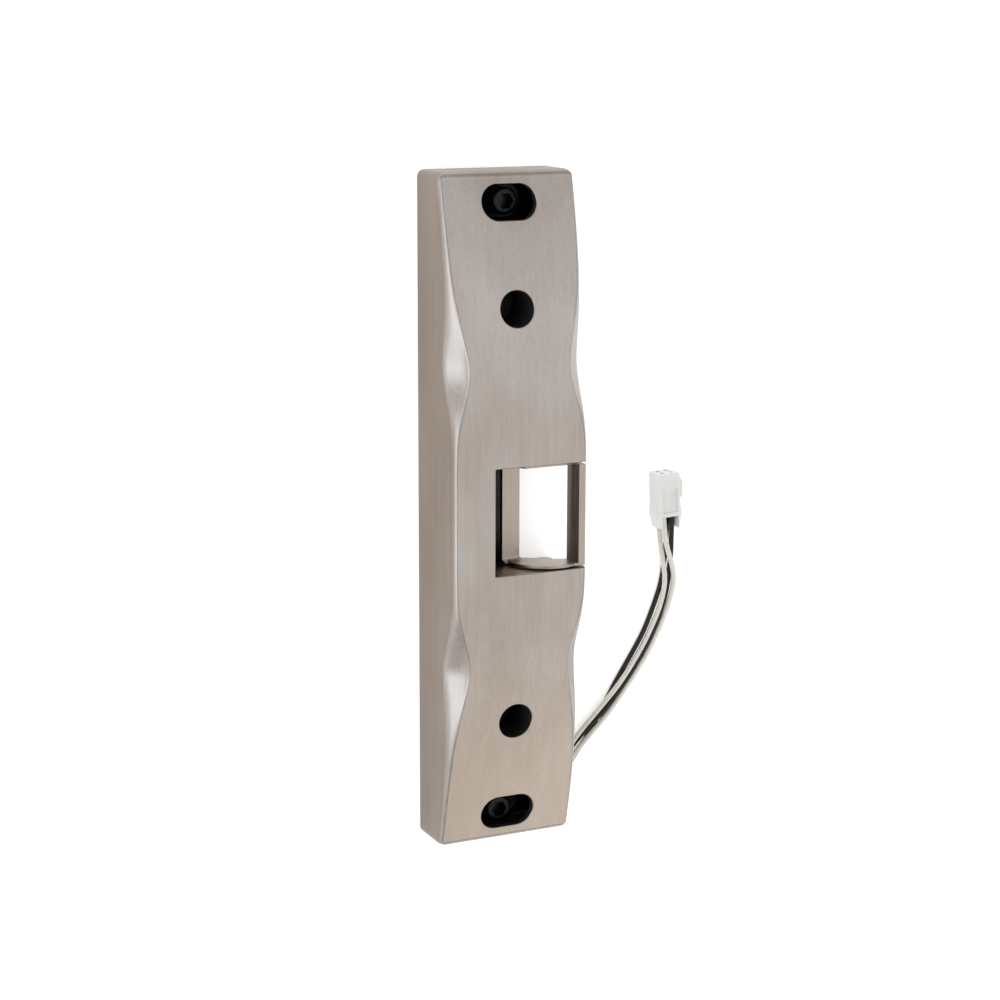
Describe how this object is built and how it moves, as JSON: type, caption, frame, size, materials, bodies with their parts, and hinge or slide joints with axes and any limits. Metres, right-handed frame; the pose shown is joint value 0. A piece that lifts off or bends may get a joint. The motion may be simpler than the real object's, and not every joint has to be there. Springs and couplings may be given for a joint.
{
  "type": "electric door strike",
  "caption": "Surface-mounted electric door strike: long bowed metal housing, pivoting keeper over a latch pocket, solenoid lock inside, short wire lead with a plug.",
  "frame": {"origin": "middle of the flat back that goes against the door frame", "axes": "+Z out of the face, +Y along the strike towards its upper end, +X across it towards the keeper's open side"},
  "size_m": [0.0991, 0.2286, 0.0291],
  "materials": {
    "brushed_steel": "satin stainless, grain along the length",
    "keeper_steel": "satin stainless",
    "zinc_steel": "zinc plated",
    "black_oxide": "black oxide",
    "bronze": "sintered bronze",
    "spring_steel": "drawn wire",
    "coil_tape": "insulating tape",
    "bobbin_nylon": "moulded",
    "black_rubber": "matte",
    "black_wire": "satin insulation",
    "white_wire": "satin insulation",
    "white_nylon": "translucent moulded nylon",
    "tinned_contact": "tinned"
  },
  "bodies": {
    "base": {"housing": "brushed_steel", "back_plate": "black_oxide", "keeper_frame": "keeper_steel", "pivot_bushing_upper": "bronze", "pivot_bushing_lower": "bronze", "keeper_return_spring": "spring_steel", "lever_pivot_post": "zinc_steel", "solenoid_frame": "zinc_steel", "solenoid_bobbin": "bobbin_nylon", "solenoid_coil": "coil_tape", "solenoid_core": "zinc_steel", "plunger_return_spring": "spring_steel", "solenoid_screw": "zinc_steel", "frame_screw_upper": "zinc_steel", "frame_screw_lower": "zinc_steel", "mounting_cup_upper": "zinc_steel", "mounting_cup_lower": "zinc_steel", "mounting_screw_upper": "black_oxide", "mounting_screw_lower": "black_oxide", "cover_screw_lower": "black_oxide", "wire_grommet": "black_rubber", "wire_1": "white_wire", "wire_2": "black_wire", "wire_3": "white_wire", "wire_4": "black_wire", "plug_housing": "white_nylon", "plug_terminal_1": "tinned_contact", "plug_terminal_2": "tinned_contact", "plug_terminal_3": "tinned_contact", "plug_terminal_4": "tinned_contact"},
    "keeper": {"keeper": "keeper_steel", "lock_cam": "zinc_steel", "retaining_ring_upper": "spring_steel", "retaining_ring_lower": "spring_steel"},
    "plunger": {"solenoid_plunger": "zinc_steel", "plunger_pin": "spring_steel"},
    "lever": {"lock_lever": "zinc_steel"}
  },
  "joints": [
    {"name": "keeper_pivot", "type": "hinge", "parent": "base", "child": "keeper", "pos_m": [0.0145, 0, 0.0164], "axis": [0, 1, 0], "range_deg": [0, 60], "stiffness_Nm_per_rad": 0.03, "springref_deg": -28.65, "deforming": ["keeper_return_spring"]},
    {"name": "plunger_slide", "type": "slide", "parent": "base", "child": "plunger", "axis": [0, -1, 0], "range_m": [0, 0.0024], "stiffness_N_per_m": 150, "springref_m": -0.003, "deforming": ["plunger_return_spring"]},
    {"name": "lever_pivot", "type": "hinge", "parent": "base", "child": "lever", "pos_m": [0.003, -0.034, 0.0164], "axis": [0, 0, -1], "range_deg": [0, 13.8]}
  ],
  "couplings": [
    {"joint": "lever_pivot", "follows": "plunger_slide", "rad_per_m": 100}
  ]
}
